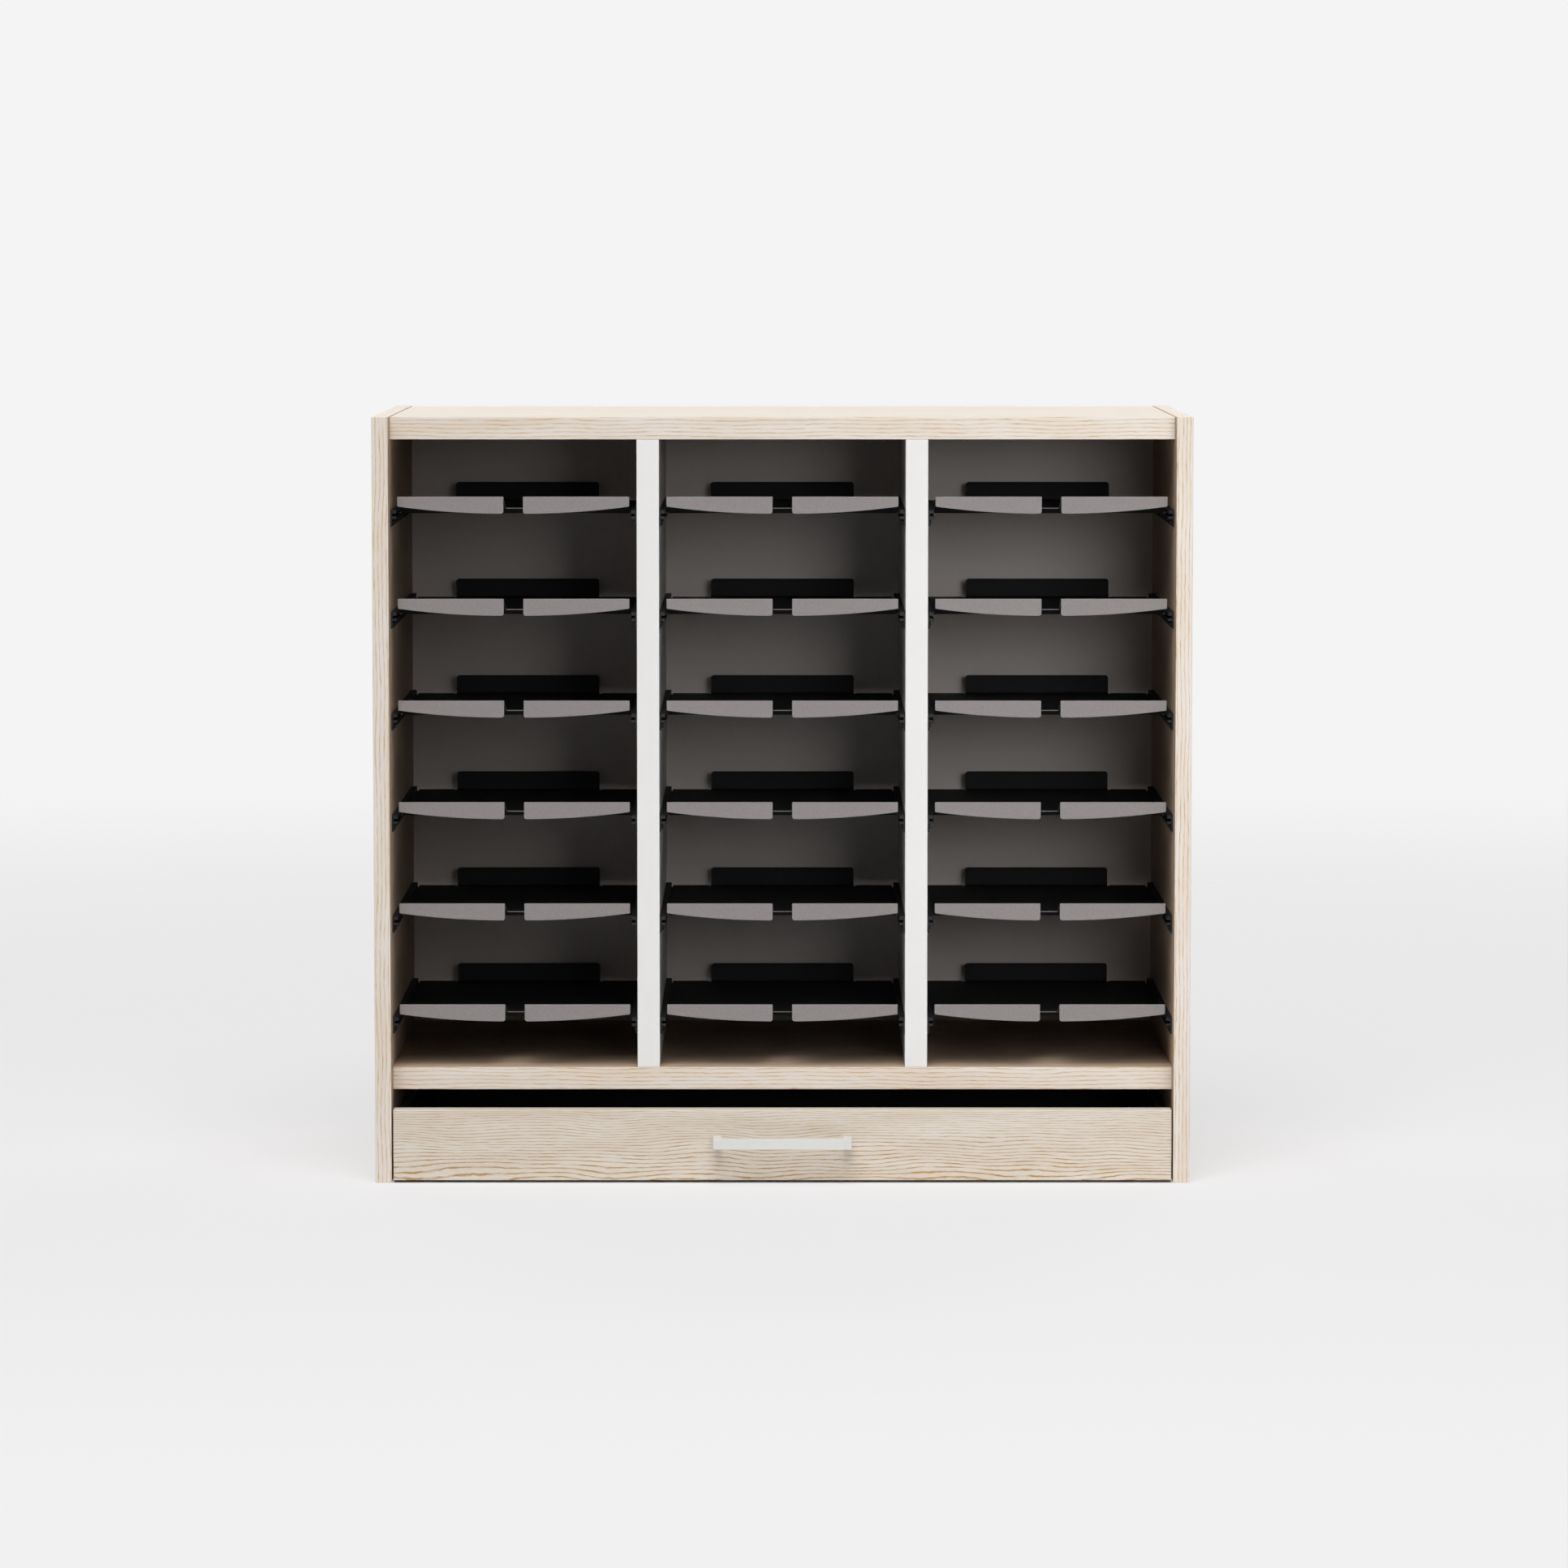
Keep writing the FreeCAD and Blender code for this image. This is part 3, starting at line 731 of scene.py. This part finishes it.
def folded(form, edges, centre, angle, steps):
    """Bends sheet up out of its edges about a line along X and gives the new edges."""
    made = bmesh.ops.spin(
        form, geom=edges, cent=centre, axis=(1, 0, 0), dvec=(0, 0, 0),
        angle=angle, steps=steps, use_duplicate=False,
    )
    return only(bmesh.types.BMEdge, made["geom_last"])


def cut_across(form, place, normal):
    """Parts the whole sheet along a plane."""
    bmesh.ops.bisect_plane(
        form, geom=form.verts[:] + form.edges[:] + form.faces[:], plane_co=place, plane_no=normal
    )


def rounded(form, verts, radius, steps):
    """Rounds the corners of flat sheet in its own plane."""
    bmesh.ops.bevel(
        form, geom=verts, offset=radius, segments=steps, profile=0.5, affect="VERTICES",
        material=-1, clamp_overlap=False,
    )


def thicken(piece, gauge):
    """Gives sheet its thickness behind its faces, and takes the sharpness off its cut edges.

    The cut edges have the piece's last material."""
    wall = piece.modifiers.new("sheet thickness", "SOLIDIFY")
    wall.thickness = gauge
    wall.material_offset_rim = len(piece.data.materials) - 1
    wall.offset = -1.0
    wall.use_even_offset = True
    ease_edges(piece, 0.15 * mm, 1)


def corners_at(form, x, y, z):
    """The corners of a form at a place, and at its mirror image on the other side."""
    spot = Vector((x, y, z))
    return [
        vert for vert in form.verts
        if (Vector((abs(vert.co.x), vert.co.y, vert.co.z)) - spot).length < 0.02 * mm
    ]


slope = math.atan2(lip_rise, ramp_foot - lip_thickness)
ramp_bend = 3.0 * mm
stop_bend = 2.0 * mm
bend_start = ramp_foot + ramp_bend * math.tan(slope / 2)
form = bmesh.new()
front = form.edges.new([
    form.verts.new((-ramp_half, lip_thickness, lip_rise)),
    form.verts.new((ramp_half, lip_thickness, lip_rise)),
])
# from the front edge back: the ramp, its bend and the floor, parted where a shape starts or ends
ramp_top = Vector((0, lip_thickness, lip_rise))
ramp_end = Vector((0, bend_start - ramp_bend * math.sin(slope), ramp_bend * (1 - math.cos(slope))))
edges = drawn(form, [front], ramp_end - ramp_top)
edges = folded(form, edges, (0, bend_start, ramp_bend), slope, 4)
floor_lines = (bend_start, flange_front, flange_rear, stop_root, tray_rear)
for start, end in zip(floor_lines, floor_lines[1:]):
    edges = drawn(form, edges, (0, end - start, 0))
for x in (notch_half, stop_half, stop_half + relief):
    cut_across(form, (x, 0, 0), (1, 0, 0))
    cut_across(form, (-x, 0, 0), (1, 0, 0))
cut_across(form, (0, notch_rear, 0), (0, 1, 0))

# the notch comes out, and what is round the stop
cut_away = []
for face in form.faces:
    middle = face.calc_center_median()
    in_notch = abs(middle.x) < notch_half and middle.y < notch_rear
    round_stop = abs(middle.x) < stop_half + relief and middle.y > stop_root
    if in_notch or round_stop:
        cut_away.append(face)
bmesh.ops.delete(form, geom=cut_away, context="FACES")

# the flanges widen the floor, and the stop is folded up from its rear edge
flange_edges = [
    edge for edge in form.edges
    if all(abs(abs(vert.co.x) - ramp_half) < hair for vert in edge.verts)
    and flange_front < (edge.verts[0].co.y + edge.verts[1].co.y) / 2 < flange_rear
]
for side in (-1, 1):
    one_side = [edge for edge in flange_edges if edge.verts[0].co.x * side > 0]
    drawn(form, one_side, (side * (flange_half - ramp_half), 0, 0))
root_edges = [
    edge for edge in form.edges
    if all(abs(vert.co.y - stop_root) < hair for vert in edge.verts)
    and all(abs(vert.co.x) < stop_half + hair for vert in edge.verts)
]
edges = folded(form, root_edges, (0, stop_root, stop_bend), math.pi / 2, 5)
drawn(form, edges, (0, 0, stop_height - stop_bend))

bmesh.ops.dissolve_limit(form, angle_limit=math.radians(1), verts=form.verts, edges=form.edges)
notch_z = lip_rise * (ramp_foot - notch_rear) / (ramp_foot - lip_thickness)
rounded(form, corners_at(form, notch_half, notch_rear, notch_z), 2 * mm, 4)
rounded(form, corners_at(form, stop_half, stop_root + stop_bend, stop_height), 3 * mm, 5)
flange_tips = [
    *corners_at(form, flange_half, flange_front, 0), *corners_at(form, flange_half, flange_rear, 0)
]
rounded(form, flange_tips, 2 * mm, 3)
bmesh.ops.recalc_face_normals(form, faces=form.faces)
floor_face = max(form.faces, key=lambda face: face.calc_area())
if floor_face.normal.z < 0:
    bmesh.ops.reverse_faces(form, faces=form.faces)
pan_blank = form

trays = [f"c{column}r{row}" for column in columns for row in rows]
for tray in trays:
    lips_low, lips_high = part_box(f"tray_lips_{tray}")
    pan_place = Vector(((lips_low.x + lips_high.x) / 2, lips_low.y, lips_high.z - lip_rise))
    form = pan_blank.copy()
    bmesh.ops.translate(form, vec=pan_place, verts=form.verts)
    pan = make_piece(
        f"folded_pan_{tray}", form, [black_powder, black_edge_highlight], f"tray_{tray}",
        [f"tray_pan_{tray}"],
    )
    thicken(pan, sheet)
pan_blank.free()


# ---- Tray lips
# Two plates across the front of each tray, one each side of the notch, welded below the ramp's
# front edge. Grey powder coat; the lower edge is a long arc, the corner at the notch is round.

grey_powder = powder_coat("steel, grey powder coated", ("#817c7b", "#938e8d"), (0.5, 0.7))
lip_outer = 9.75 * mm           # height at the tray's side
lip_inner = 16.8 * mm           # height at the notch
lip_length = ramp_half - notch_half
lip_drop = lip_inner - lip_outer
arc_radius = (lip_length ** 2 + lip_drop ** 2) / (2 * lip_drop)
arc_angle = math.asin(lip_length / arc_radius)
form = bmesh.new()
low_inner = form.verts.new((notch_half, 0, -lip_inner))
bmesh.ops.spin(
    form, geom=[low_inner], cent=(notch_half, 0, arc_radius - lip_inner), axis=(0, 1, 0),
    dvec=(0, 0, 0), angle=-arc_angle, steps=16, use_duplicate=False,
)
low_outer = max(form.verts, key=lambda vert: vert.co.x)
top_outer = form.verts.new((ramp_half, 0, 0))
top_inner = form.verts.new((notch_half, 0, 0))
form.edges.new((low_outer, top_outer))
form.edges.new((top_outer, top_inner))
form.edges.new((top_inner, low_inner))
bmesh.ops.edgeloop_fill(form, edges=form.edges)
rounded(form, [low_inner], 2.5 * mm, 6)
rounded(form, corners_at(form, ramp_half, 0, -lip_outer), 1.0 * mm, 3)
rounded(form, corners_at(form, ramp_half, 0, 0), 0.6 * mm, 2)
rounded(form, corners_at(form, notch_half, 0, 0), 0.6 * mm, 2)
pulled(form, form.faces[:], (0, lip_thickness, 0))
bmesh.ops.mirror(form, geom=form.verts[:] + form.edges[:] + form.faces[:], axis="X", merge_dist=0)
bmesh.ops.recalc_face_normals(form, faces=form.faces)
lip_pair = form

for tray in trays:
    lips_low, lips_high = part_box(f"tray_lips_{tray}")
    lips_place = Vector(((lips_low.x + lips_high.x) / 2, lips_low.y, lips_high.z))
    form = lip_pair.copy()
    bmesh.ops.translate(form, vec=lips_place, verts=form.verts)
    make_piece(
        f"lip_plates_{tray}", form, [grey_powder], f"tray_{tray}",
        [f"tray_lips_{tray}"], 0.4 * mm, 3,
    )
lip_pair.free()


# ---- Drawer front
# 16 mm board faced with a leaf of oak whose figure is broader than on the carcass, edged all
# round, with well eased edges. It hangs between the sides with a finger's slot above it.

oak_leaf = sliced_oak(
    "oak leaf veneer, sliced and lacquered, across", x_axis, tones=("#dfd9d0", "#b08a4e"),
    ring_width=5.0 * mm, figure=1.15, coat=outer_veneer["coat"], sway=3.5,
    start=front_low.y + front_low.z, tightening=17.0,
)
make_piece(
    "drawer_front_board", board(front_low, front_high), [oak_leaf], "drawer",
    ["drawer_front"], 1.2 * mm, 3,
)


# ---- Drawer box
# Sides and back of 12 mm particle board wrapped in black foil with a fine leather-like emboss.
# The bottom is 4 mm black hardboard, held in a groove of the sides and the front.

def black_foil():
    """Foil embossed by a roller: black, with small soft pits that catch the light."""
    material, tree, place = new_material(
        "black foil, embossed", Metallic=0.0, IOR=1.5, Specular_IOR_Level=0.3
    )
    emboss = add_node(
        tree, "TexVoronoi", {"Vector": place, "Scale": 0.9 / mm}, feature="SMOOTH_F1"
    ).outputs["Distance"]
    cloud = add_node(tree, "TexNoise", {"Vector": place, "Scale": 0.025 / mm}).outputs["Fac"]
    lay_finish(
        tree, cloud, ("#0f0f10", "#161617"), emboss, (0.5, 0.7), emboss, 0.05 * mm, 0.25
    )
    return material


foil = black_foil()
for node in ("drawer_side_left", "drawer_side_right", "drawer_back"):
    form = board(*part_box(node))
    make_piece(node + "_board", form, [foil], "drawer", [node], 0.5 * mm)
form = board(*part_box("drawer_bottom"))
make_piece(
    "drawer_bottom_board", form, [foil], "drawer", ["drawer_bottom"],
    0.2 * mm, 1,
)


# ---- Bow handle
# A cast zinc bow, satin white lacquer over it. The bar meets its legs in a round inside corner
# and a nearly square outside one.

def white_lacquer():
    """White lacquer sprayed on a casting: an even satin with a trace of orange peel."""
    material, tree, place = new_material(
        "zinc casting, satin white lacquer", Metallic=0.0, IOR=1.5
    )
    film = add_node(
        tree, "TexNoise", {"Vector": place, "Scale": 0.5 / mm, "Detail": 2.0}
    ).outputs["Fac"]
    lay_finish(tree, film, ("#dbdad7", "#e1e0dd"), film, (0.34, 0.44), film, 0.03 * mm, 0.1)
    return material


low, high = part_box("drawer_handle")
leg = 8.0 * mm                  # width across the case
bar = 5.5 * mm                  # depth from front to back
form = bmesh.new()
outline = [
    (low.x, high.y), (low.x, low.y), (high.x, low.y), (high.x, high.y), (high.x - leg, high.y),
    (high.x - leg, low.y + bar), (low.x + leg, low.y + bar), (low.x + leg, high.y),
]
corners = [form.verts.new((x, y, low.z)) for x, y in outline]
form.faces.new(corners)
outside_corners, inside_corners = corners[1:3], corners[5:7]
rounded(form, outside_corners, 1.0 * mm, 3)
rounded(form, inside_corners, 6.0 * mm, 8)
pulled(form, form.faces[:], (0, 0, high.z - low.z))
bmesh.ops.recalc_face_normals(form, faces=form.faces)
make_piece(
    "bow_handle", form, [white_lacquer()], "drawer", ["drawer_handle"], 0.5 * mm, 3
)


# ---- Handle screws
# Two zinc-plated machine screws with pan heads. They are put through the drawer front from
# inside the drawer, into the handle's legs.

low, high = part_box("handle_screws")
handle_screw = dict(
    top_radius=3.3 * mm, under_radius=4.0 * mm, head_height=2.6 * mm, shank_radius=2.0 * mm,
    length=high.y - low.y,
)
head = handle_screw["under_radius"]
form = bmesh.new()
for x in (low.x + head, high.x - head):
    place = Vector((x, high.y, (low.z + high.z) / 2))
    screw(form, place, Vector((0, 1, 0)), **handle_screw)
make_piece("handle_machine_screws", form, [zinc], "drawer", ["handle_screws"])


# ---- Drawer slides
# Channels rolled from 1.2 mm zinc-plated steel, nested in pairs: the outer ones are screwed to
# the case and the inner ones to the drawer. Steel balls between them sit in nylon cages.

def rolled_channel(half_section, wall, inward, middle, depths, bend, web_faces_wall):
    """Sheet bent along a half section and its mirror image, from points that are given as
    distance from the case's wall and height above the channel's middle."""
    form = bmesh.new()
    section = half_section + [(out, -rise) for out, rise in reversed(half_section)]
    corners = [
        form.verts.new((wall + inward * out, depths[0], middle + rise)) for out, rise in section
    ]
    ends = [form.edges.new(pair) for pair in zip(corners, corners[1:])]
    drawn(form, ends, (0, depths[1] - depths[0], 0))
    bends = [edge for edge in form.edges if len(edge.link_faces) == 2]
    bmesh.ops.bevel(
        form, geom=bends, offset=bend, segments=3, profile=0.5, affect="EDGES", material=-1
    )
    bmesh.ops.recalc_face_normals(form, faces=form.faces)
    web_face = max(form.faces, key=lambda face: face.calc_area())
    outward = -inward if web_faces_wall else inward
    if web_face.normal.x * outward < 0:
        bmesh.ops.reverse_faces(form, faces=form.faces)
    return form


def moulded_nylon():
    """Nylon without a dye, moulded: milky, with a soft gloss and a little light inside it."""
    material, tree, place = new_material(
        "nylon, natural, injection moulded", Metallic=0.0, IOR=1.53, Subsurface_Weight=0.15,
        Subsurface_Scale=0.002,
    )
    flow = add_node(
        tree, "TexNoise", {"Vector": place, "Scale": 0.18 / mm, "Detail": 2.0}
    ).outputs["Fac"]
    lay_finish(tree, flow, ("#d8d5ca", "#e2dfd5"), flow, (0.35, 0.5))
    return material


# distances from the case's wall, and heights above the slide's middle
rail_gauge = 1.2 * mm
outer_width, outer_height = 9.6 * mm, 17.5 * mm
inner_start, inner_width, inner_height = 2.4 * mm, 12.7 * mm, 12.6 * mm
race_lip = 1.7 * mm
rail_bend = 2.0 * mm
ball_radius = 1.8 * mm
ball_line = 5.6 * mm
ball_height = outer_height - rail_gauge - ball_radius
ball_pitch = 9.0 * mm
balls_in_row = 9
first_ball = 0.85 * ball_pitch  # behind the cage's front
cage_start, cage_width = 1.5 * mm, 8.2 * mm
cage_gauge = 0.6 * mm
cage_bend = 0.8 * mm
outer_section = [
    (outer_width, outer_height - rail_gauge - race_lip), (outer_width, outer_height),
    (0, outer_height),
]
inner_section = [(inner_start, inner_height), (inner_width, inner_height)]
cage_section = [(cage_width, ball_height), (cage_start, ball_height)]
shank = 1.6 * mm
wall_screw = dict(
    top_radius=3.2 * mm, under_radius=shank, head_height=1.6 * mm, shank_radius=shank,
    length=13 * mm,
)
drawer_screw = dict(
    top_radius=2.8 * mm, under_radius=3.4 * mm, head_height=1.5 * mm, shank_radius=shank,
    length=11 * mm,
)
nylon = moulded_nylon()
rails_low, rails_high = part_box("drawer_rails_fixed")
cages_low, cages_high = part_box("drawer_ball_cages")
middle = (rails_low.z + rails_high.z) / 2
rail_screw_depths = [rails_low.y + distance * mm for distance in (32, 174, 316)]
# the left hand's pieces stand for the nodes, which hold both hands
nodes_of = {
    "left": (["drawer_rails_fixed"], ["drawer_rails_moving"], ["drawer_ball_cages"]),
    "right": ([], [], []),
}
for side, wall, inward in (("left", rails_low.x, 1), ("right", rails_high.x, -1)):
    outer_nodes, inner_nodes, cage_nodes = nodes_of[side]
    rolled = (wall, inward, middle, (rails_low.y, rails_high.y), rail_bend)
    form = rolled_channel(outer_section, *rolled, web_faces_wall=True)
    rail = make_piece(
        f"outer_rail_{side}", form, [zinc], "carcass", outer_nodes
    )
    thicken(rail, rail_gauge)
    form = rolled_channel(inner_section, *rolled, web_faces_wall=False)
    rail = make_piece(
        f"inner_rail_{side}", form, [zinc], "drawer", inner_nodes
    )
    thicken(rail, rail_gauge)

    outer_heads, inner_heads = bmesh.new(), bmesh.new()
    flush = wall + inward * (rail_gauge + 0.1 * mm)
    proud = wall + inward * (inner_width - rail_gauge - drawer_screw["head_height"])
    for depth in rail_screw_depths:
        place = Vector((flush, depth, middle))
        screw(outer_heads, place, Vector((inward, 0, 0)), **wall_screw)
        place = Vector((proud, depth, middle))
        screw(inner_heads, place, Vector((-inward, 0, 0)), **drawer_screw)
    make_piece(f"outer_rail_screws_{side}", outer_heads, [zinc], "carcass")
    make_piece(f"inner_rail_screws_{side}", inner_heads, [zinc], "drawer")

    depths = (cages_low.y, cages_high.y)
    form = rolled_channel(
        cage_section, wall, inward, middle, depths, cage_bend, web_faces_wall=True
    )
    cage = make_piece(
        f"ball_cage_{side}", form, [nylon], "ball_cages", cage_nodes
    )
    thicken(cage, cage_gauge)
    form = bmesh.new()
    for rise in (-ball_height, ball_height):
        for index in range(balls_in_row):
            along = cages_low.y + first_ball + index * ball_pitch
            place = Vector((wall + inward * ball_line, along, middle + rise))
            bmesh.ops.create_icosphere(
                form, subdivisions=2, radius=ball_radius, matrix=Matrix.Translation(place)
            )
    make_piece(f"balls_{side}", form, [zinc], "ball_cages")
